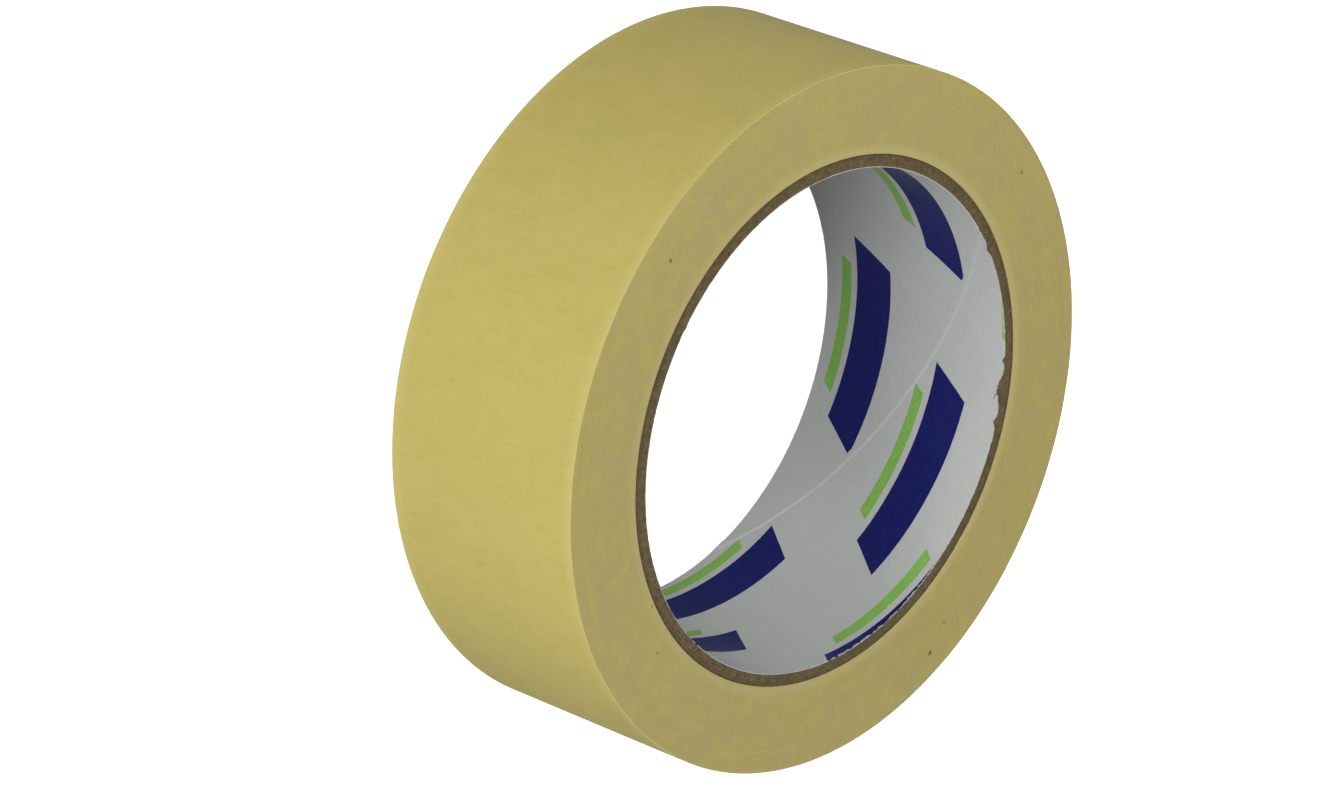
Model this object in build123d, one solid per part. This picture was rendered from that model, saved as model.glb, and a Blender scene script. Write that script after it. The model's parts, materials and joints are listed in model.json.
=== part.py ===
"""Masking tape roll: a spiral-wound paper core with a printed liner, and one strip of crepe tape wound on it.

The core is made the way paper tubes are: a printed liner and three kraft plies, each one strip wound on a helix
and glued to the next. Each ply meets itself in a butt joint, and the liner laps over its own edge. The tape is
one long strip on a spiral. Its inner turns stick together as one block; the last turn and the free end that is
lifted to start peeling are pieces of their own, and the free end shows its adhesive when it is lifted.

Frame: millimetres. +Z is the core's axis, and the origin is on that axis in the plane of the lower side face, so
that the roll lies flat on z = 0. Angles are about +Z from +X.
"""
from build123d import *
import math
import os

# Driving dimensions
BORE_D = 76.0           # inside of the core, the usual 3 inch size
ROLL_D = 106.5          # outside of a full roll
TAPE_WIDTH = 36.0
TAPE_LENGTH = 33_000.0
LINER_T = 0.13          # printed paper
PLY_T = 0.59            # kraft board
PLY_NAMES = ("core_ply_inner", "core_ply_middle", "core_ply_outer")
HELIX_PITCH = 126.6     # axial advance of the core's strips in one turn
SEAM_ANGLE = 51.2       # where the liner's lap meets the lower side face
BUTT_GAP = 0.30         # between the edges of one kraft ply
LAP_WIDTH = 1.6         # the liner's overlap
FREE_END_ANGLE = 78.0   # where the tape's cut edge is
FREE_LENGTH = 18.0      # the stretch that lifts to start peeling
ADHESIVE_T = 0.03       # rubber adhesive under the crepe paper
PEEL_GAP = 0.02         # between the free end and what it lies on

# Worked out from them
BORE_R = BORE_D / 2
ROLL_R = ROLL_D / 2
CORE_R = BORE_R + LINER_T + PLY_T * len(PLY_NAMES)
TAPE_T = math.pi * (ROLL_R**2 - CORE_R**2) / TAPE_LENGTH
BLOCK_R = ROLL_R - 2 * TAPE_T                     # where the spiral of the block's surface starts
SEAM_TWIST = 360 * TAPE_WIDTH / HELIX_PITCH       # how far a seam turns from side face to side face
FREE_SPAN = math.degrees(FREE_LENGTH / (ROLL_R - TAPE_T))
HINGE_ANGLE = 360 - FREE_SPAN                     # on the spiral, where the free end is lifted from
GAP_SPAN = math.degrees(PEEL_GAP / ROLL_R)

OVERCUT = 1.0           # how far a cutting tool runs past what it cuts


def spiral_arcs(rise, start=0.0, end=360.0):
    """Arcs of the block's surface lifted by rise, from start to end degrees on the spiral.

    One turn of the spiral is two half circles. The second has a centre half a tape's thickness further out and
    a radius that much larger, so the arcs meet smoothly and the turn ends one tape's thickness further out.
    """
    arcs = []
    if start < 180:
        sweep = min(end, 180) - start
        arcs.append(CenterArc((0, 0), BLOCK_R + rise, start, sweep))
    if end > 180:
        begin = max(start, 180)
        arcs.append(CenterArc((TAPE_T / 2, 0), BLOCK_R + TAPE_T / 2 + rise, begin, end - begin))
    return arcs


def across_the_width(outline):
    """The closed outline made into a solid as wide as the tape, with the spiral's start at FREE_END_ANGLE."""
    return Rot(0, 0, FREE_END_ANGLE) * extrude(make_face(outline), TAPE_WIDTH)


def tape_stretch(low, high, start, end):
    """A stretch of strip between two rises above the block's surface, from start to end on the spiral."""
    inner = spiral_arcs(low, start, end)
    outer = spiral_arcs(high, start, end)
    start_edge = Line(inner[0] @ 0, outer[0] @ 0)
    end_edge = Line(inner[-1] @ 1, outer[-1] @ 1)
    return across_the_width([*inner, *outer, start_edge, end_edge])


def tube(inner_r, outer_r):
    """A plain tube as long as the tape is wide, standing on z = 0."""
    return extrude(Circle(outer_r) - Circle(inner_r), TAPE_WIDTH)


def helical_bar(inner_r, outer_r, width, angle):
    """A bar that follows a seam's helix, from angle on the lower face, and runs past both side faces."""
    length = TAPE_WIDTH + 2 * OVERCUT
    twist = SEAM_TWIST * length / TAPE_WIDTH
    section = Location(((inner_r + outer_r) / 2, 0, 0)) * Rectangle(outer_r - inner_r, width)
    bar = Solid.extrude_linear_with_rotation(section.face(), (0, 0, 0), (0, 0, length), twist)
    lead_in = SEAM_TWIST * OVERCUT / TAPE_WIDTH
    return Location((0, 0, -OVERCUT)) * Rot(0, 0, angle - lead_in) * bar


def printed_liner():
    """The liner, with the lap where the strip's second edge is glued over the first, on the bore side."""
    skin = tube(BORE_R, BORE_R + LINER_T)
    lap_space = tube(BORE_R - LINER_T, BORE_R + LINER_T / 2)
    lap = helical_bar(BORE_R - OVERCUT, BORE_R + OVERCUT, LAP_WIDTH, SEAM_ANGLE) & lap_space
    return skin + lap


def core_ply(index):
    """One kraft ply with its butt joint. The joints of the plies are spread evenly round the core."""
    inner_r = BORE_R + LINER_T + index * PLY_T
    outer_r = inner_r + PLY_T
    joint_angle = SEAM_ANGLE + 360 * (index + 1) / (len(PLY_NAMES) + 1)
    joint = helical_bar(inner_r - OVERCUT, outer_r + OVERCUT, BUTT_GAP, joint_angle)
    return tube(inner_r, outer_r) - joint


def wound_block():
    """All the turns but the last, which stick together. Its outside is a spiral with a step at the cut edge."""
    arcs = spiral_arcs(0)
    step = Line(arcs[-1] @ 1, arcs[0] @ 0)
    core = extrude(Circle(CORE_R), TAPE_WIDTH)
    return across_the_width([*arcs, step]) - core


def last_turn():
    """The turn on the outside, as far as the line that the free end peels from."""
    return tape_stretch(0, TAPE_T, 0, HINGE_ANGLE)


def free_end_paper():
    """The crepe paper of the free end."""
    return tape_stretch(PEEL_GAP + ADHESIVE_T, TAPE_T, HINGE_ANGLE + GAP_SPAN, 360)


def free_end_adhesive():
    """The adhesive coat under the free end."""
    return tape_stretch(PEEL_GAP, PEEL_GAP + ADHESIVE_T, HINGE_ANGLE + GAP_SPAN, 360)


pieces = {
    "printed_liner": printed_liner(),
    "wound_tape": wound_block(),
    "last_turn": last_turn(),
    "free_end_paper": free_end_paper(),
    "free_end_adhesive": free_end_adhesive(),
}
for index, name in enumerate(PLY_NAMES):
    pieces[name] = core_ply(index)

os.makedirs("parts", exist_ok=True)
for name, piece in pieces.items():
    export_step(piece, f"parts/{name}.step")
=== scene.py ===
"""The looks of the masking tape roll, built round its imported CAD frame. Metres, +Z along the core's axis.

Angles are about +Z from +X. The strip's own angle, theta, runs from 0 at the start of its last turn to
a full turn at its cut edge. The upper side face is the front one, and the roll lies on the lower one.
"""

import json
import math
import random

import bpy
from mathutils import Matrix, Quaternion, Vector, noise


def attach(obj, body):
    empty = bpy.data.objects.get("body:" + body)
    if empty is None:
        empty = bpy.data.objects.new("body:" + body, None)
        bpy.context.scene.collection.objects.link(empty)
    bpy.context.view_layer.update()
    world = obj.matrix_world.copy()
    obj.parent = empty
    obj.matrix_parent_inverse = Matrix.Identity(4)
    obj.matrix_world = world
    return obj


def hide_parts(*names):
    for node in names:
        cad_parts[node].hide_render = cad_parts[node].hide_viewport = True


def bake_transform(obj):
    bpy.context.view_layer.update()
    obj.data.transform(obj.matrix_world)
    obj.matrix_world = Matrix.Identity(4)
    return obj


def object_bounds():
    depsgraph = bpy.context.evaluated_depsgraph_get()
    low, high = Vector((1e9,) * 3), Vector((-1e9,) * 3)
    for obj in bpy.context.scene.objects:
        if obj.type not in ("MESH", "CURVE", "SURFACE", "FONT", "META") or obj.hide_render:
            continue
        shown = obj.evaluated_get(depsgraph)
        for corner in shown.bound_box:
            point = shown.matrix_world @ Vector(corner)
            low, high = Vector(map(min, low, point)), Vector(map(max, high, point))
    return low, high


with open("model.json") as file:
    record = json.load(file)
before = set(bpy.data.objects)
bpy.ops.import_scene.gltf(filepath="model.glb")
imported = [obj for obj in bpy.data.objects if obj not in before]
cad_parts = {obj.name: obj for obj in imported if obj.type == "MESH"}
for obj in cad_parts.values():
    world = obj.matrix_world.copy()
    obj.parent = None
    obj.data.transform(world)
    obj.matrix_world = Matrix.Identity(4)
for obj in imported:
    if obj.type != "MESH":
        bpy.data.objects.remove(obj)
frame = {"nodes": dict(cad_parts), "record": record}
CAD_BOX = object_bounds()
random.seed(36)

MM = 0.001
TURN = 2 * math.pi
PLIES = ("core_ply_inner", "core_ply_middle", "core_ply_outer")


def distances(node):
    """How far the corners of a CAD node are from the core's axis."""
    return [vertex.co.xy.length for vertex in frame["nodes"][node].data.vertices]


def cut_edge_angle():
    """The angle of the free end's cut edge, where the strip is furthest from the axis."""
    corners = [vertex.co for vertex in frame["nodes"]["free_end_paper"].data.vertices]
    furthest = max(corners, key=lambda corner: corner.xy.length)
    return math.atan2(furthest.y, furthest.x)


# From the CAD frame
WIDTH = CAD_BOX[1][2] - CAD_BOX[0][2]
BORE_R = frame["record"]["mounts"][0]["dims"]["r_mm"] * MM
CORE_R = max(distances("core_ply_outer"))
BLOCK_R = min(distances("last_turn"))           # outside of the wound turns, where the last turn starts
ROLL_R = max(distances("free_end_paper"))
TAPE_T = (ROLL_R - BLOCK_R) / 2
EDGE_ANGLE = cut_edge_angle()

# As in the CAD's source, because the frame doesn't tell them
HELIX_PITCH = 126.6 * MM            # axial advance of the core's strips in one turn
SEAM_ANGLE = math.radians(51.2)     # where the liner's lap meets the lower side face
LINER_T = 0.13 * MM                 # printed paper
LAP_WIDTH = 1.6 * MM                # the liner's overlap
BUTT_GAP = 0.30 * MM                # between the edges of one kraft ply
ADHESIVE_T = 0.03 * MM              # rubber adhesive under the crepe paper
PEEL_GAP = 0.02 * MM                # between the free end and what it lies on
FREE_LENGTH = 18 * MM               # the stretch that lifts to start peeling

# Worked out from both
TURNS = round((BLOCK_R - CORE_R) / TAPE_T)              # in the wound block
HINGE_THETA = TURN - FREE_LENGTH / (ROLL_R - TAPE_T)    # where the free end is lifted from
SEAM_TWIST = TURN * WIDTH / HELIX_PITCH                 # how far a seam turns from side face to side face
LINER_SLOPE = math.atan2(HELIX_PITCH, TURN * BORE_R)    # of the liner's strip to the side faces

# The roll's side faces
OUTER_ROUND = 0.50 * MM     # how far in from the outside the side faces start to round off
OUTER_DROP = 0.17 * MM      # how far they have dropped at the outside
INNER_ROUND = 1.4 * MM      # the same next to the core
INNER_DROP = 0.14 * MM
TURN_SCATTER = 0.022 * MM   # how unevenly the turns lie, side to side
GROOVE_DEPTH = 0.022 * MM   # between one turn's edge and the next
STRIP_WANDER = 0.012 * MM   # of the last turn's edges

# The crepe's ridges, which run across the strip
CREPE_DEPTH = 0.021 * MM    # of the mean surface under the highest ridges
CREPE_PITCH = 0.50 * MM     # from ridge to ridge
CREPE_LENGTH = 4.0 * MM     # of a ridge
CREPE_WAVES = 14 * MM       # the length of the slow waves that the ridges ride on

# The core's edges and the liner
LEAST_INSET = 0.02 * MM     # of anything in the core from the side faces
LINER_INSET = 0.08 * MM     # of the liner's cut edges, on average
PLY_INSET = 0.05 * MM       # of the plies' sawn ends, at the bore
CORE_DROP = 0.08 * MM       # how much further in the core's sawn ends are at its outside
LINER_GAP = 0.01 * MM       # between the liner and the board behind it
PLY_GAP = 0.02 * MM         # between two plies
LAP_GAP = 0.006 * MM        # between the liner's two layers in its lap
LAP_CLIMB = 1.2 * MM        # the length over which the liner climbs onto its own first edge
FRONT_BAND = 0.06           # of the liner's width, which follows its uneven front edge
BURST_SHARE = 0.45          # how far the board behind a torn place bursts into the bore, by its depth
BURST_RISE = 0.4 * MM       # the height over which the burst board comes to stand out
TEAR_REACH = 1.6            # half widths from a torn place's middle to its ends
TORN_SPOTS = (              # angle, half width, depth of the torn places on the liner's front edge
    (math.radians(110.3), 2.6 * MM, 0.95 * MM),
    (math.radians(117.5), 0.7 * MM, 0.40 * MM),
    (math.radians(103.2), 1.3 * MM, 0.45 * MM),
    (math.radians(146.4), 1.0 * MM, 0.40 * MM),
    (math.radians(262.0), 1.6 * MM, 0.45 * MM),
)

# The loose fibres at the core's ends
FIBRE_COUNT = 420
FIBRE_ROOT = 0.20 * MM      # how deep in the core a fibre starts
FIBRE_LENGTH = (0.25 * MM, 0.9 * MM)        # least and most
FIBRE_RADIUS = (0.008 * MM, 0.016 * MM)
FRONT_FIBRES = 0.75         # the share of them at the front side face
TALLEST_FIBRE = 0.18 * MM   # so that none stands out of the side faces

# The one dark speck of dirt on the front side face
SPECK_R = 49.5 * MM
SPECK_ANGLE = math.radians(57)
SPECK_STRETCH = 1.5         # how much longer it is along X than along Y
SPECK_FADE = (0.24 * MM, 0.50 * MM)         # from its middle, where it starts to fade and where it ends

# The print on the liner: rows of slanted dashes along the strip, clear of its edges
PRINT_ROWS = 5              # in the strip's width
PRINT_REPEAT = 37 * MM      # along a row
PRINT_STAGGER = 14 * MM     # from one row to the next
PRINT_SHIFT = 31 * MM       # of the whole print along the strip
PRINT_LEAN = math.radians(-24)      # of the dashes to the strip's length
PRINT_BLUR = 0.03 * MM      # of a dash's edges
PRINT_WOBBLE = 0.08 * MM    # and how uneven they are
DASH_SLANT = 0.6            # of a dash's ends
NAVY_DASH = ((0.0, 1.0 * MM), (30 * MM, 6.8 * MM))          # place in its cell, and size
GREEN_DASH = ((1.5 * MM, -4.5 * MM), (21 * MM, 1.9 * MM))

# How finely the pieces are divided: columns go round the roll, and rows across its width
BLOCK_COLUMNS = 216         # in each wound turn
LAST_TURN_COLUMNS = 2400
FREE_END_COLUMNS = 150
TAPE_ROWS = 20
LINER_COLUMNS = 900
PLY_COLUMNS = 720
CORE_ROWS = 34
FIBRE_RINGS = 5


# --- Shapes ---------------------------------------------------------------------------------------

def on_circle(radius, angle, z):
    return (radius * math.cos(angle), radius * math.sin(angle), z)


def on_spiral(theta, rise, z):
    """A point at theta on the strip's path and rise above the surface of the block of wound turns.

    The path is two half circles, the second with its centre half a tape's thickness further out.
    """
    radius = BLOCK_R + rise
    centre = 0.0
    if theta > math.pi:
        radius += TAPE_T / 2
        centre = TAPE_T / 2
    x = centre + radius * math.cos(theta)
    y = radius * math.sin(theta)
    cosine = math.cos(EDGE_ANGLE)
    sine = math.sin(EDGE_ANGLE)
    return (x * cosine - y * sine, x * sine + y * cosine, z)


def rough(*place):
    """Smooth random number from -1 to 1 for a place given in noise periods.

    A part of the place that is a plain number or a seed only chooses noise that nothing else uses.
    """
    return noise.noise(Vector(place))


def side_drop(radius):
    """How far the roll's side faces lie inside the nominal width at a radius."""
    drop = 0.0
    into_outer = (radius - (ROLL_R - OUTER_ROUND)) / OUTER_ROUND
    if into_outer > 0:
        drop += OUTER_DROP * (1 - math.sqrt(max(0.0, 1 - into_outer**2)))
    into_inner = (CORE_R + INNER_ROUND - radius) / INNER_ROUND
    if into_inner > 0:
        drop += INNER_DROP * into_inner**2
    return drop


def make_piece(name, vertices, faces, sharp_degrees=35):
    """A smooth-shaded mesh object. Its edges are sharp where faces meet at more than sharp_degrees."""
    mesh = bpy.data.meshes.new(name)
    mesh.from_pydata(vertices, [], faces)
    mesh.shade_smooth()
    mesh.set_sharp_from_angle(angle=math.radians(sharp_degrees))
    piece = bpy.data.objects.new(name, mesh)
    bpy.context.scene.collection.objects.link(piece)
    return piece


def make_slab(name, inner, outer):
    """A closed sheet between two grids of points: lists of columns, each of which runs upwards."""
    vertices = []
    inner_index = []
    outer_index = []
    for grid, index in ((inner, inner_index), (outer, outer_index)):
        for column in grid:
            index.append(range(len(vertices), len(vertices) + len(column)))
            vertices.extend(column)
    faces = []
    for i in range(len(inner) - 1):
        a, b = inner_index[i], inner_index[i + 1]
        c, d = outer_index[i], outer_index[i + 1]
        faces.extend((a[j], a[j + 1], b[j + 1], b[j]) for j in range(len(a) - 1))
        faces.extend((c[j], d[j], d[j + 1], c[j + 1]) for j in range(len(c) - 1))
        faces.append((c[0], a[0], b[0], d[0]))
        faces.append((a[-1], c[-1], d[-1], b[-1]))
    faces.append((*outer_index[0], *reversed(inner_index[0])))
    faces.append((*inner_index[-1], *reversed(outer_index[-1])))
    return make_piece(name, vertices, faces)


def steps(low, high, count):
    """count + 1 evenly spaced numbers from low to high."""
    return [low + (high - low) * i / count for i in range(count + 1)]


def rows_with_rims(rim, count):
    """Heights as fractions of the width, evenly spaced but closer within rim of both side faces."""
    edge = [0.0, 0.12 * rim, 0.35 * rim, 0.65 * rim]
    middle = steps(rim, 1 - rim, count)
    return edge + middle + [1 - height for height in reversed(edge)]


# --- The core -------------------------------------------------------------------------------------

def half_widths_away(angle, place, half_width):
    """How far an angle is from a torn place, along the bore, in the place's half widths."""
    return abs((angle - place + math.pi) % TURN - math.pi) * BORE_R / half_width


def liner_edge(angle):
    """How far the liner's front edge is below the side face: a cut paper edge, torn in a few places."""
    wander = 0.06 * MM * rough(angle * 60, 3.1, 0)
    fray = 0.05 * MM * rough(angle * 240, 7.7, 0)
    down = LINER_INSET + wander + fray
    for place, half_width, depth in TORN_SPOTS:
        away = half_widths_away(angle, place, half_width)
        if away < TEAR_REACH:
            ragged = 1 + 0.6 * rough(angle * 90, 1.3, 2.2) + 0.3 * rough(angle * 230, 4.3, 2.2)
            down += depth * ragged * math.exp(-1.8 * away**2)
    return max(LEAST_INSET, down)


def liner_lift(around, height):
    """How far the liner stands in from the bore: it climbs onto its first edge, and has slight waves."""
    climb_start = TURN * BORE_R - LAP_CLIMB
    climb = min(1.0, max(0.0, (around - climb_start) / LAP_CLIMB))
    waves = 0.012 * MM * rough(around / (9 * MM), height / (30 * MM), 5.0)
    return (LINER_T + LAP_GAP) * climb * climb * (3 - 2 * climb) + waves


def on_flat_strip(around, z):
    """A liner point's place on its strip laid flat: along it, across it and zero."""
    cosine = math.cos(LINER_SLOPE)
    sine = math.sin(LINER_SLOPE)
    return (around * cosine + z * sine, z * cosine - around * sine, 0)


def build_liner():
    """The printed paper liner: one strip on a helix that laps over its own edge.

    Each of its points also has its place on the flat strip, for the print.
    """
    inner = []
    outer = []
    flat = []
    for around in steps(0, TURN * BORE_R + LAP_WIDTH, LINER_COLUMNS):
        inner_column = []
        outer_column = []
        for fraction in rows_with_rims(rim=0.03, count=CORE_ROWS):
            turned = around / BORE_R + SEAM_TWIST * fraction
            angle = SEAM_ANGLE + turned
            low = LINER_INSET + 0.04 * MM * rough(angle * 60, 9.1, 0)
            near_front = max(0.0, (fraction - (1 - FRONT_BAND)) / FRONT_BAND)
            z = low + fraction * (WIDTH - low) - liner_edge(angle) * near_front
            radius = BORE_R - liner_lift(around, z)
            inner_column.append(on_circle(radius, angle, z))
            outer_column.append(on_circle(radius + LINER_T - LINER_GAP, angle, z))
            flat.append(on_flat_strip(turned * BORE_R, z))
        inner.append(inner_column)
        outer.append(outer_column)
    piece = make_slab("liner_paper", inner, outer)
    attribute = piece.data.attributes.new("strip", "FLOAT_VECTOR", "POINT")
    for point, place in zip(attribute.data, flat + flat):
        point.vector = place
    return piece


def build_ply(node, number):
    """One kraft ply: a strip on a helix with its edges butted, and a rough sawn edge at both side faces.

    number counts the plies from 0 at the bore. Their joints are staggered round the core.
    """
    inner_r = min(distances(node))
    outer_r = max(distances(node))
    gap = BUTT_GAP / ((inner_r + outer_r) / 2)
    seam = SEAM_ANGLE + TURN * (number + 1) / (len(PLIES) + 1)
    inner = []
    outer = []
    for turned in steps(gap / 2, TURN - gap / 2, PLY_COLUMNS):
        for grid, radius in ((inner, inner_r), (outer, outer_r - PLY_GAP)):
            column = []
            for fraction in rows_with_rims(rim=0.02, count=CORE_ROWS):
                column.append(ply_point(radius, seam + turned + SEAM_TWIST * fraction, fraction))
            grid.append(column)
    return make_slab("kraft_" + node.removeprefix("core_"), inner, outer)


def ply_point(radius, angle, fraction):
    """A point on a ply's face, at a fraction of the height from one sawn end to the other."""
    low = ply_edge(radius, angle, 11.0)
    high = ply_edge(radius, angle, 17.0)
    z = low + fraction * (WIDTH - low - high)
    behind_liner = radius < BORE_R + 2 * LINER_T
    if behind_liner:
        radius -= ply_burst(angle, z)
    return on_circle(radius, angle, z)


def ply_edge(radius, angle, seed):
    """How far the core's sawn end is inside the side face: rough, and further in towards its outside."""
    out = (radius - BORE_R) / (CORE_R - BORE_R)
    coarse = 0.04 * MM * rough(angle * 24, seed, radius / MM)
    fine = 0.05 * MM * rough(angle * 190, seed, radius / MM)
    return max(LEAST_INSET, PLY_INSET + CORE_DROP * out**2 + coarse + fine)


def ply_burst(angle, z):
    """How far the inner ply has burst into the bore where the liner's front edge is torn off it."""
    bare = min(1.0, (z - WIDTH + liner_edge(angle)) / BURST_RISE)
    if bare <= 0:
        return 0.0
    burst = 0.0
    for place, half_width, depth in TORN_SPOTS:
        burst += depth * math.exp(-1.5 * half_widths_away(angle, place, half_width)**2)
    ragged = 0.6 + 0.5 * rough(angle * 300, 2.0, z / BURST_RISE)
    return BURST_SHARE * burst * max(0.0, ragged) * bare


def build_fibres():
    """Loose fibres of kraft board and liner paper that stick out of the core's sawn edges.

    One in three is at a torn place of the liner.
    """
    vertices = []
    faces = []
    for count in range(FIBRE_COUNT):
        angle = random.uniform(0, TURN)
        if count % 3 == 0:
            place, half_width = random.choice(TORN_SPOTS)[:2]
            angle = random.gauss(place, 0.7 * half_width / BORE_R)
        radius = random.uniform(BORE_R, CORE_R - 0.1 * MM)
        front = random.random() < FRONT_FIBRES
        start = Vector(on_circle(radius, angle, WIDTH - FIBRE_ROOT if front else FIBRE_ROOT))
        rise = Vector((0, 0, 1 if front else -1))
        tangent = Vector((-math.sin(angle), math.cos(angle), 0)) * random.choice((-1, 1))
        inward = Vector((-math.cos(angle), -math.sin(angle), 0))
        lean = tangent * random.uniform(0.5, 1.2) + inward * random.uniform(-0.2, 0.9)
        length = random.uniform(*FIBRE_LENGTH)
        thickness = random.uniform(*FIBRE_RADIUS)
        add_fibre(vertices, faces, start, lean.normalized(), rise, length, thickness)
    return make_piece("core_fibres", vertices, faces, sharp_degrees=80)


def add_fibre(vertices, faces, start, lean, rise, length, thickness):
    """Adds one fibre: a thin three-sided tube that rises a little, leans over and tapers to its tip."""
    side = lean.cross(rise).normalized()
    curl = random.uniform(-0.5, 0.5)
    height = min(TALLEST_FIBRE, length * random.uniform(0.1, 0.35))
    first = len(vertices)
    for ring in range(FIBRE_RINGS):
        share = ring / (FIBRE_RINGS - 1)
        centre = start + lean * length * share + side * length * curl * share**2
        centre += rise * height * math.sin(share * math.pi * 0.8)
        radius = thickness * (1 - 0.7 * share)
        for corner in range(3):
            turn = TURN * corner / 3
            vertices.append(centre + (side * math.cos(turn) + rise * math.sin(turn)) * radius)
    for ring in range(FIBRE_RINGS - 1):
        for corner in range(3):
            a = first + ring * 3 + corner
            b = first + ring * 3 + (corner + 1) % 3
            faces.append((a, b, b + 3, a + 3))
    faces.append((first + 2, first + 1, first))
    last = first + 3 * (FIBRE_RINGS - 1)
    faces.append((last, last + 1, last + 2))


# --- The tape -------------------------------------------------------------------------------------

def turn_offset(radius, angle, seed):
    """How far a turn's edge is inside the side faces: each has its own place, and drifts going round."""
    turn = (radius - CORE_R) / TAPE_T
    own = rough(turn * 0.93, seed, 0.5) + 0.6 * rough(turn * 0.21, seed + 5, 0.5)
    drift = rough(math.cos(angle) * 1.5, math.sin(angle) * 1.5, turn * 0.6 + seed)
    return TURN_SCATTER * (1.0 + 0.55 * own + 0.45 * drift)


def add_thread(vertices, side, turns, into_turn, depth):
    """Adds a thread of points along the wound strip's edge on one side face, and gives their indices.

    side is 0 for the lower side face and 1 for the upper. The thread starts into_turn of a tape's
    thickness out from the core, goes round turns times, and is depth below the crest of the strip's edge.
    """
    seed = (21.0, 43.0)[side]
    spacing = (BLOCK_R - CORE_R) / TURNS
    thread = []
    for i in range(BLOCK_COLUMNS * turns + 1):
        angle = EDGE_ANGLE + TURN * i / BLOCK_COLUMNS
        radius = CORE_R + spacing * (i / BLOCK_COLUMNS + into_turn)
        inside = side_drop(radius) + turn_offset(radius, angle, seed) + depth
        thread.append(len(vertices))
        vertices.append(on_circle(radius, angle, WIDTH - inside if side else inside))
    return thread


def add_core_wall(vertices, faces, grooves, crests):
    """Adds the block's wall round the core: a tube, and a strip from each of its rims to the spiral.

    The strip of tape starts at the rims' first points, so the first face of each is a triangle, and the
    last face takes in the start of the crest.
    """
    rim_depth = 0.45 * MM
    rims = []
    for groove, z in zip(grooves, (rim_depth, WIDTH - rim_depth)):
        rim = [groove[0]]
        for i in range(1, BLOCK_COLUMNS):
            rim.append(len(vertices))
            vertices.append(on_circle(CORE_R, EDGE_ANGLE + TURN * i / BLOCK_COLUMNS, z))
        rims.append(rim)
    for side, rim, groove, crest in zip((0, 1), rims, grooves, crests):
        for i in range(BLOCK_COLUMNS):
            face = [rim[i], groove[i], groove[i + 1], rim[(i + 1) % BLOCK_COLUMNS]]
            if i == 0:
                face = [groove[0], groove[1], rim[1]]
            elif i == BLOCK_COLUMNS - 1:
                face.insert(3, crest[0])
            faces.append(face if side else face[::-1])
    for i in range(BLOCK_COLUMNS):
        after = (i + 1) % BLOCK_COLUMNS
        faces.append((rims[0][i], rims[1][i], rims[1][after], rims[0][after]))


def add_outside(faces, grooves, crests):
    """Adds the block's outer surface, and the step at its end, where the last turn goes on."""
    first = BLOCK_COLUMNS * TURNS
    last = first + BLOCK_COLUMNS
    for i in range(first, last):
        faces.append((grooves[0][i], grooves[0][i + 1], grooves[1][i + 1], grooves[1][i]))
    inner_corners = (grooves[0][first], grooves[1][first], crests[1][first])
    outer_corners = (grooves[1][last], grooves[0][last], crests[0][first])
    faces.append(inner_corners + outer_corners)


def build_wound_block():
    """The wound turns: one continuous spiral whose edge, turn by turn, makes up both side faces.

    Two threads of points follow the strip's edge on each side face: one in the groove between two turns,
    and one on the crest of the paper's edge. The block's outside takes the second material.
    """
    vertices = []
    faces = []
    grooves = []
    crests = []
    for side in (0, 1):
        groove = add_thread(vertices, side, turns=TURNS + 1, into_turn=0.0, depth=GROOVE_DEPTH)
        crest = add_thread(vertices, side, turns=TURNS, into_turn=0.5, depth=0.0)
        grooves.append(groove)
        crests.append(crest)
        for i in range(BLOCK_COLUMNS * TURNS):
            next_turn = i + BLOCK_COLUMNS
            inner_half = (groove[i], crest[i], crest[i + 1], groove[i + 1])
            outer_half = (crest[i], groove[next_turn], groove[next_turn + 1], crest[i + 1])
            faces.extend((inner_half, outer_half) if side else (inner_half[::-1], outer_half[::-1]))
    add_core_wall(vertices, faces, grooves, crests)
    first_outside = len(faces)
    add_outside(faces, grooves, crests)
    piece = make_piece("wound_turns", vertices, faces, sharp_degrees=60)
    for face in piece.data.polygons[first_outside:]:
        face.material_index = 1
    return piece


def crepe(theta, z):
    """How far the crepe paper's outer surface is below its highest ridges."""
    along = theta * ROLL_R
    ridges = rough(along / CREPE_PITCH, z / CREPE_LENGTH, 0.5)
    ridges += 0.6 * rough(along / (0.46 * CREPE_PITCH), z / (0.5 * CREPE_LENGTH), 9.5)
    waves = rough(along / CREPE_WAVES, z / CREPE_WAVES, 3.5)
    return CREPE_DEPTH * (1.0 + 0.5 * ridges + 0.4 * waves)


def edge_heights(theta, rise):
    """The lower and upper edge of the strip at one point of its path."""
    radius = BLOCK_R + rise + TAPE_T * theta / TURN
    wander = STRIP_WANDER * rough(theta * 9, rise / TAPE_T, 6.5)
    inside = side_drop(min(radius, ROLL_R)) + TURN_SCATTER
    return inside + wander, WIDTH - inside + wander


def tape_stretch(name, low, high, thetas, textured=True):
    """A stretch of strip between two rises above the block. textured gives it the crepe's relief."""
    inner = []
    outer = []
    fractions = rows_with_rims(rim=0.012, count=TAPE_ROWS) if textured else (0.0, 1.0)
    for theta in thetas:
        bottom, top = edge_heights(theta, low)
        inner.append([on_spiral(theta, low, bottom), on_spiral(theta, low, top)])
        bottom, top = edge_heights(theta, high)
        column = []
        for fraction in fractions:
            z = bottom + fraction * (top - bottom)
            relief = crepe(theta, z) if textured else 0.0
            column.append(on_spiral(theta, high - relief, z))
        outer.append(column)
    return make_slab(name, inner, outer)


def build_last_turn():
    thetas = steps(0.0, HINGE_THETA, LAST_TURN_COLUMNS)
    return tape_stretch("tape_last_turn", 0.0, TAPE_T, thetas)


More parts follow.
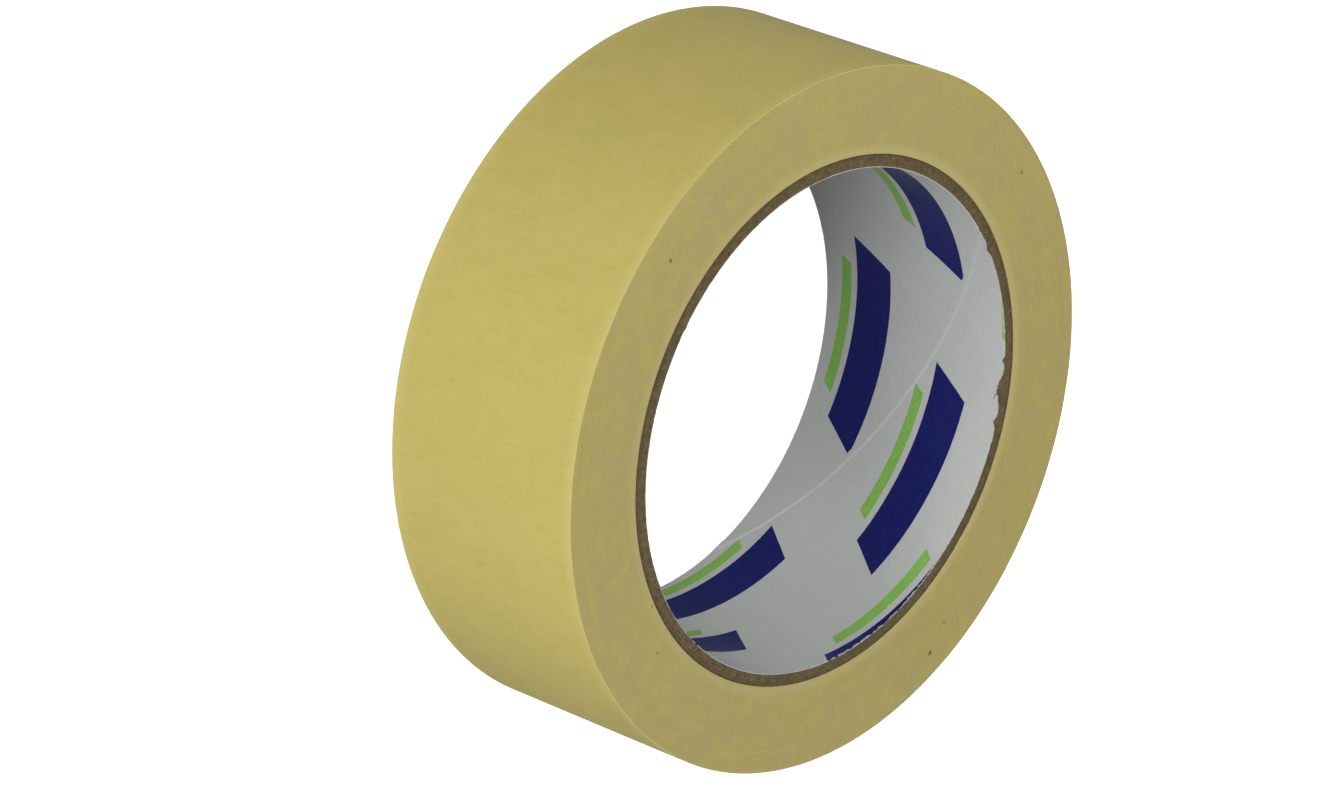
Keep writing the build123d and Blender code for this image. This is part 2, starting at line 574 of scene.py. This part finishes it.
def build_free_end():
    thetas = steps(HINGE_THETA, TURN, FREE_END_COLUMNS)
    return tape_stretch("tape_free_end", PEEL_GAP + ADHESIVE_T, TAPE_T, thetas)


def build_adhesive():
    thetas = steps(HINGE_THETA, TURN, FREE_END_COLUMNS)
    return tape_stretch("adhesive_film", PEEL_GAP, PEEL_GAP + ADHESIVE_T, thetas, textured=False)


# --- Materials ------------------------------------------------------------------------------------

def paint(red, green, blue):
    """A colour given as 0 to 255 screen values, for a shader."""
    def linear(value):
        share = value / 255
        return share / 12.92 if share <= 0.04045 else ((share + 0.055) / 1.055) ** 2.4
    return (linear(red), linear(green), linear(blue), 1.0)


class Shader:
    """One material and short calls that add nodes to it. A call's value is the new node's output."""

    def __init__(self, name):
        self.material = bpy.data.materials.new(name)
        self.material.use_nodes = True
        self.tree = self.material.node_tree
        self.surface = self.tree.nodes["Principled BSDF"]

    def feed(self, socket, value):
        """Links value to socket if it is an output, and sets it if it is a number or a colour."""
        if isinstance(value, bpy.types.NodeSocket):
            self.tree.links.new(value, socket)
        else:
            socket.default_value = value

    def set(self, **inputs):
        """Feeds the surface shader's inputs, named with underscores for spaces."""
        for name, value in inputs.items():
            self.feed(self.surface.inputs[name.replace("_", " ")], value)

    def node(self, kind, **settings):
        node = self.tree.nodes.new(kind)
        for name, value in settings.items():
            setattr(node, name, value)
        return node

    def place(self):
        """The point's place in the row frame."""
        return self.node("ShaderNodeTexCoord").outputs["Object"]

    def attribute(self, name):
        return self.node("ShaderNodeAttribute", attribute_name=name).outputs["Vector"]

    def parts(self, vector):
        """A vector's x, y and z."""
        node = self.node("ShaderNodeSeparateXYZ")
        self.feed(node.inputs[0], vector)
        return node.outputs[0], node.outputs[1], node.outputs[2]

    def radius(self, place):
        """A place's distance from the core's axis."""
        node = self.node("ShaderNodeVectorMath", operation="LENGTH")
        self.feed(node.inputs[0], self.stretched(place, 1, 1, 0))
        return node.outputs["Value"]

    def distance(self, place, target):
        """A place's distance from a fixed one."""
        node = self.node("ShaderNodeVectorMath", operation="DISTANCE")
        self.feed(node.inputs[0], place)
        node.inputs[1].default_value = target
        return node.outputs["Value"]

    def to_side_face(self, place):
        """A place's distance from the nearer side face."""
        from_middle = self.math("ABSOLUTE", self.math("SUBTRACT", self.parts(place)[2], WIDTH / 2))
        return self.math("SUBTRACT", WIDTH / 2, from_middle)

    def vector(self, x, y, z):
        node = self.node("ShaderNodeCombineXYZ")
        for socket, value in zip(node.inputs, (x, y, z)):
            self.feed(socket, value)
        return node.outputs[0]

    def math(self, operation, *values):
        node = self.node("ShaderNodeMath", operation=operation)
        for socket, value in zip(node.inputs, values):
            self.feed(socket, value)
        return node.outputs[0]

    def stretched(self, vector, x, y, z):
        """The vector with each part multiplied."""
        node = self.node("ShaderNodeVectorMath", operation="MULTIPLY")
        self.feed(node.inputs[0], vector)
        node.inputs[1].default_value = (x, y, z)
        return node.outputs[0]

    def noise(self, vector, scale, detail, roughness=0.5):
        node = self.node("ShaderNodeTexNoise")
        self.feed(node.inputs["Vector"], vector)
        node.inputs["Scale"].default_value = scale
        node.inputs["Detail"].default_value = detail
        node.inputs["Roughness"].default_value = roughness
        return node.outputs["Fac"]

    def ramp(self, value, low, high, out_low=0.0, out_high=1.0):
        """value taken from the range low to high to the range out_low to out_high, and no further."""
        node = self.node("ShaderNodeMapRange")
        for socket, number in zip(node.inputs, (value, low, high, out_low, out_high)):
            self.feed(socket, number)
        return node.outputs[0]

    def mix(self, share, first, second):
        """The first colour with a share of the second over it. The node's colours are inputs 6 and 7."""
        node = self.node("ShaderNodeMix", data_type="RGBA")
        self.feed(node.inputs[0], share)
        self.feed(node.inputs[6], first)
        self.feed(node.inputs[7], second)
        return node.outputs[2]

    def bump(self, height, distance, strength):
        node = self.node("ShaderNodeBump")
        node.inputs["Strength"].default_value = strength
        node.inputs["Distance"].default_value = distance
        self.feed(node.inputs["Height"], height)
        return node.outputs[0]


def crepe_material():
    """The tape's back: pale yellow crepe paper with a satin release coat, wrinkled across the strip."""
    s = Shader("crepe_paper")
    place = s.place()
    wrinkles = s.noise(s.stretched(place, 1, 1, 0.16), 2100, detail=4, roughness=0.6)
    mottle = s.noise(place, 90, detail=3)
    cloud = s.noise(s.stretched(place, 1, 1, 0.6), 380, detail=3, roughness=0.65)
    colour = s.mix(s.ramp(mottle, 0.38, 0.62), paint(217, 203, 112), paint(222, 204, 114))
    colour = s.mix(s.ramp(cloud, 0.50, 0.70, 0.0, 0.38), colour, paint(226, 208, 122))
    colour = s.mix(s.ramp(cloud, 0.34, 0.48, 0.30, 0.0), colour, paint(212, 196, 100))
    colour = s.mix(s.ramp(wrinkles, 0.25, 0.5, 0.20, 0.0), colour, paint(180, 162, 78))
    # Painted highlight: a paler band along both rims, within 2.2 mm of the side faces
    rim_highlight = s.ramp(s.to_side_face(place), 0.5 * MM, 2.2 * MM, 0.5, 0.0)
    colour = s.mix(rim_highlight, colour, paint(230, 216, 138))
    s.set(Base_Color=colour, Roughness=s.ramp(wrinkles, 0.3, 0.7, 0.50, 0.62))
    s.set(Normal=s.bump(wrinkles, 0.02 * MM, 0.8))
    s.set(Specular_IOR_Level=0.42, Sheen_Weight=0.12, Sheen_Roughness=0.5)
    return s.material


def ring_noise(s, place, round_scale, out_scale, **settings):
    """Noise drawn out into rings round the core. Its scales are periods per radian and per metre."""
    x, y = s.parts(place)[:2]
    radius = s.radius(place)
    across = s.math("MULTIPLY", s.math("DIVIDE", x, radius), round_scale)
    up = s.math("MULTIPLY", s.math("DIVIDE", y, radius), round_scale)
    out = s.math("MULTIPLY", radius, out_scale)
    return s.noise(s.vector(across, up, out), 1.0, **settings)


def edge_material():
    """The wound turns seen edge on: duller, with fine rings, smears of adhesive and a few specks."""
    s = Shader("tape_edges")
    place = s.place()
    radius = s.radius(place)
    rings = ring_noise(s, place, 2.2, 5200, detail=4, roughness=0.65)
    broad = ring_noise(s, place, 0.9, 700, detail=2)
    grain_and_glints = s.noise(place, 3000, detail=2)
    mottle = s.noise(place, 110, detail=3)
    dust = s.noise(place, 620, detail=1, roughness=0.4)
    cloud = s.noise(place, 330, detail=3, roughness=0.6)
    colour = s.mix(s.ramp(rings, 0.3, 0.7), paint(189, 174, 101), paint(200, 184, 113))
    colour = s.mix(s.ramp(broad, 0.35, 0.65, 0.0, 0.4), colour, paint(200, 185, 108))
    colour = s.mix(s.ramp(mottle, 0.40, 0.62, 0.0, 0.7), colour, paint(190, 178, 116))
    colour = s.mix(s.ramp(cloud, 0.52, 0.66, 0.0, 0.55), colour, paint(204, 187, 102))
    colour = s.mix(s.ramp(grain_and_glints, 0.3, 0.5, 0.12, 0.0), colour, paint(160, 146, 86))
    # Painted glints: pale specks that stand in for light glinting off the adhesive
    colour = s.mix(s.ramp(grain_and_glints, 0.60, 0.75, 0.0, 0.35), colour, paint(222, 209, 150))
    # Painted highlight on the first turns next to the core, where their rounded edges face the light
    highlight_by_core = s.ramp(radius, CORE_R + 0.8 * MM, CORE_R + 1.8 * MM, 0.6, 0.0)
    colour = s.mix(highlight_by_core, colour, paint(208, 194, 130))
    # Painted shadow: a dark line in the crack where the tape meets the core
    shadow_at_core = s.ramp(radius, CORE_R + 0.02 * MM, CORE_R + 0.08 * MM, 0.8, 0.0)
    colour = s.mix(shadow_at_core, colour, paint(96, 80, 48))
    colour = s.mix(s.ramp(dust, 0.80, 0.86, 0.0, 0.75), colour, paint(64, 56, 30))
    x, y, z = on_circle(SPECK_R, SPECK_ANGLE, WIDTH)
    from_speck = s.distance(s.stretched(place, 1, SPECK_STRETCH, 1), (x, y * SPECK_STRETCH, z))
    colour = s.mix(s.ramp(from_speck, *SPECK_FADE, 0.85, 0.0), colour, paint(58, 44, 30))
    s.set(Base_Color=colour, Roughness=s.ramp(rings, 0.3, 0.7, 0.72, 0.56))
    s.set(Normal=s.bump(s.math("ADD", rings, s.math("MULTIPLY", grain_and_glints, 0.4)), 0.03 * MM, 0.6))
    s.set(Specular_IOR_Level=0.35)
    return s.material


def kraft_material(name, dark, light):
    """Kraft board, sawn: brown-grey fibres that lie round the core, with painted shade darkening it towards
    its outside.
    """
    s = Shader(name)
    place = s.place()
    fibres = s.noise(s.stretched(place, 1, 1, 3), 900, detail=5, roughness=0.7)
    patches = s.noise(place, 160, detail=3)
    specks = s.noise(place, 2600, detail=1)
    colour = s.mix(s.ramp(fibres, 0.3, 0.7), dark, light)
    colour = s.mix(s.ramp(patches, 0.4, 0.7, 0.0, 0.4), colour, dark)
    colour = s.mix(s.ramp(specks, 0.62, 0.75, 0.0, 0.35), colour, paint(176, 158, 128))
    # Painted shade: darker towards the core's outside, next to the tape
    painted_shade_outwards = s.ramp(s.radius(place), CORE_R - 0.7 * MM, CORE_R, 0.0, 0.45)
    colour = s.mix(painted_shade_outwards, colour, paint(82, 68, 40))
    s.set(Base_Color=colour, Roughness=0.9)
    s.set(Normal=s.bump(fibres, 0.12 * MM, 0.8))
    s.set(Specular_IOR_Level=0.2)
    return s.material


def dash(s, along, across, place, size):
    """1 inside a dash of the print, which is a bar with slanted ends, and 0 outside it."""
    x = s.math("SUBTRACT", along, place[0])
    y = s.math("SUBTRACT", across, place[1])
    slanted = s.math("ADD", x, s.math("MULTIPLY", y, DASH_SLANT))
    past_end = s.math("SUBTRACT", s.math("ABSOLUTE", slanted), size[0] / 2)
    past_side = s.math("SUBTRACT", s.math("ABSOLUTE", y), size[1] / 2)
    return s.ramp(s.math("MAXIMUM", past_end, past_side), -PRINT_BLUR, PRINT_BLUR, 1.0, 0.0)


def print_cell(s, place):
    """A liner point's place in its cell of the print, measured along the dashes and across them."""
    along, across = s.parts(s.attribute("strip"))[:2]
    row_width = (TURN * BORE_R + LAP_WIDTH) * math.sin(LINER_SLOPE) / PRINT_ROWS
    row = s.math("FLOOR", s.math("DIVIDE", across, row_width))
    shifted = s.math("ADD", s.math("ADD", along, s.math("MULTIPLY", row, PRINT_STAGGER)), PRINT_SHIFT)
    in_row = s.math("SUBTRACT", s.math("WRAP", shifted, PRINT_REPEAT, 0.0), PRINT_REPEAT / 2)
    over_row = s.math("SUBTRACT", s.math("WRAP", across, row_width, 0.0), row_width / 2)
    cosine = math.cos(PRINT_LEAN)
    sine = math.sin(PRINT_LEAN)
    x = s.math("ADD", s.math("MULTIPLY", in_row, cosine), s.math("MULTIPLY", over_row, sine))
    y = s.math("SUBTRACT", s.math("MULTIPLY", over_row, cosine), s.math("MULTIPLY", in_row, sine))
    wobble = s.math("MULTIPLY", s.math("SUBTRACT", s.noise(place, 1500, detail=2), 0.5), PRINT_WOBBLE)
    return s.math("ADD", x, wobble), s.math("ADD", y, wobble)


def liner_material():
    """Coated white paper with a plain print of navy dashes, each with a thin green one beside it."""
    s = Shader("printed_paper")
    place = s.place()
    ink = s.noise(place, 2200, detail=3, roughness=0.7)
    cloud = s.noise(place, 55, detail=3)
    fibre = s.noise(s.stretched(place, 1, 1, 0.6), 1300, detail=4, roughness=0.6)
    scuff = s.noise(s.stretched(place, 1, 1, 1.4), 330, detail=3, roughness=0.6)
    colour = s.mix(s.ramp(cloud, 0.3, 0.7), paint(198, 201, 199), paint(204, 206, 202))
    colour = s.mix(s.ramp(fibre, 0.3, 0.6, 0.10, 0.0), colour, paint(150, 150, 146))
    colour = s.mix(s.ramp(scuff, 0.66, 0.80, 0.0, 0.12), colour, paint(150, 152, 152))
    x, y = print_cell(s, place)
    green_ink = s.mix(s.ramp(ink, 0.35, 0.7), paint(132, 188, 84), paint(152, 204, 104))
    colour = s.mix(dash(s, x, y, *GREEN_DASH), colour, green_ink)
    navy_ink = s.mix(s.ramp(ink, 0.35, 0.7), paint(14, 18, 92), paint(26, 34, 116))
    colour = s.mix(dash(s, x, y, *NAVY_DASH), colour, navy_ink)
    fray_width = s.ramp(s.noise(place, 1300, detail=4), 0.45, 0.75, 0.06 * MM, 0.5 * MM)
    past_fray = s.math("SUBTRACT", s.to_side_face(place), fray_width)
    colour = s.mix(s.ramp(past_fray, -0.02 * MM, 0.05 * MM, 0.8, 0.0), colour, paint(214, 213, 204))
    s.set(Base_Color=colour, Roughness=s.ramp(cloud, 0.3, 0.7, 0.34, 0.44))
    s.set(Normal=s.bump(fibre, 0.015 * MM, 0.5))
    s.set(Specular_IOR_Level=0.45)
    return s.material


def adhesive_material():
    """Rubber adhesive: honey-coloured, tacky and shiny, with fine strings from being pulled off."""
    s = Shader("rubber_adhesive")
    place = s.place()
    strings = s.noise(s.stretched(place, 1, 1, 0.2), 1500, detail=4, roughness=0.6)
    patches = s.noise(place, 300, detail=3)
    colour = s.mix(s.ramp(patches, 0.3, 0.7), paint(206, 188, 116), paint(220, 205, 140))
    s.set(Base_Color=colour, Roughness=s.ramp(strings, 0.3, 0.7, 0.18, 0.36))
    s.set(Normal=s.bump(strings, 0.03 * MM, 0.7))
    s.set(Specular_IOR_Level=0.5)
    return s.material


# --- Putting the pieces together ------------------------------------------------------------------

def finish_piece(piece, body, nodes, slot, *materials):
    """Gives a piece its materials, puts it on the body that it rides on and hides the CAD nodes it stands
    for.

    A piece with None as its body is put on no body here.
    """
    for material in materials:
        piece.data.materials.append(material)
    if body is not None:
        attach(piece, body)
    if nodes:
        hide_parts(*nodes)


crepe_paper = crepe_material()
tape_edges = edge_material()
kraft = kraft_material("kraft_board", paint(92, 78, 51), paint(131, 114, 83))
loose_fibres = kraft_material("loose_fibres", paint(150, 128, 98), paint(190, 176, 150))

finish_piece(build_liner(), "roll", ["printed_liner"], "liner_paper", liner_material())
for number, node in enumerate(PLIES):
    finish_piece(build_ply(node, number), "roll", [node], "kraft_board", kraft)
finish_piece(build_fibres(), "roll", [], "kraft_board", loose_fibres)
finish_piece(build_wound_block(), "roll", ["wound_tape"], "crepe_tape", tape_edges, crepe_paper)
finish_piece(build_last_turn(), "roll", ["last_turn"], "crepe_tape", crepe_paper)

for piece, node, slot, material in (
    (build_free_end(), "free_end_paper", "crepe_tape", crepe_paper),
    (build_adhesive(), "free_end_adhesive", "adhesive", adhesive_material()),
):
    finish_piece(piece, None, [node], slot, material)
    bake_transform(piece)


# --- Studio ---------------------------------------------------------------------------------------

def add_floor(half_size, depth):
    """A pale floor a little under the roll, so bright that it reads as white."""
    corners = [(x * half_size, y * half_size, -depth) for x, y in ((-1, -1), (1, -1), (1, 1), (-1, 1))]
    floor = make_piece("floor", corners, [(0, 1, 2, 3)])
    s = Shader("floor_paint")
    s.set(Base_Color=paint(250, 250, 250), Roughness=0.9, Specular_IOR_Level=0.1)
    s.set(Emission_Color=(1, 1, 1, 1), Emission_Strength=0.9)
    floor.data.materials.append(s.material)
    floor.visible_diffuse = False
    floor.visible_glossy = False


def add_light(name, azimuth, elevation, distance, width, height, power):
    """A soft box that looks at the middle of the roll from an azimuth and elevation in degrees."""
    data = bpy.data.lights.new(name, "AREA")
    data.shape = "RECTANGLE"
    data.size = width
    data.size_y = height
    data.energy = power
    light = bpy.data.objects.new(name, data)
    bpy.context.scene.collection.objects.link(light)
    turn = math.radians(azimuth)
    tilt = math.radians(elevation)
    level = math.cos(tilt)
    outward = Vector((math.cos(turn) * level, math.sin(turn) * level, math.sin(tilt)))
    light.location = outward * distance + Vector((0, 0, WIDTH / 2))
    light.rotation_euler = outward.to_track_quat("Z", "Y").to_euler()


def add_camera():
    """The reference view's camera: a long lens on the -Y side and above, turned about its own axis."""
    data = bpy.data.cameras.new("camera")
    data.lens = 192.5
    data.sensor_width = 36
    camera = bpy.data.objects.new("camera", data)
    bpy.context.scene.collection.objects.link(camera)
    bearing = math.radians(0.36)
    elevation = math.radians(39.88)
    roll = math.radians(110.63)
    distance = 1.0358
    aim = Vector((5.00 * MM, -13.87 * MM, WIDTH / 2))
    level = math.cos(elevation)
    forward = Vector((math.sin(bearing) * level, math.cos(bearing) * level, -math.sin(elevation)))
    turn = forward.to_track_quat("-Z", "Y") @ Quaternion((0, 0, 1), roll)
    camera.matrix_world = Matrix.LocRotScale(aim - forward * distance, turn, None)
    bpy.context.scene.camera = camera


def add_world(strength):
    """White light from all round."""
    world = bpy.data.worlds.new("studio")
    world.use_nodes = True
    background = world.node_tree.nodes["Background"]
    background.inputs["Color"].default_value = (1, 1, 1, 1)
    background.inputs["Strength"].default_value = strength
    bpy.context.scene.world = world


add_floor(half_size=4.0, depth=0.2 * MM)
add_camera()
add_light("low_box", azimuth=320, elevation=14, distance=1.3, width=0.7, height=0.55, power=7.5)
add_light("front_box", azimuth=260, elevation=40, distance=1.3, width=0.7, height=0.55, power=8.4)
add_light("side_box", azimuth=198, elevation=40, distance=0.6, width=0.32, height=0.25, power=0.95)
add_light("back_box", azimuth=78, elevation=5, distance=1.3, width=0.7, height=0.4, power=7.0)
add_world(strength=0.12)
bpy.context.scene.view_settings.view_transform = "Standard"
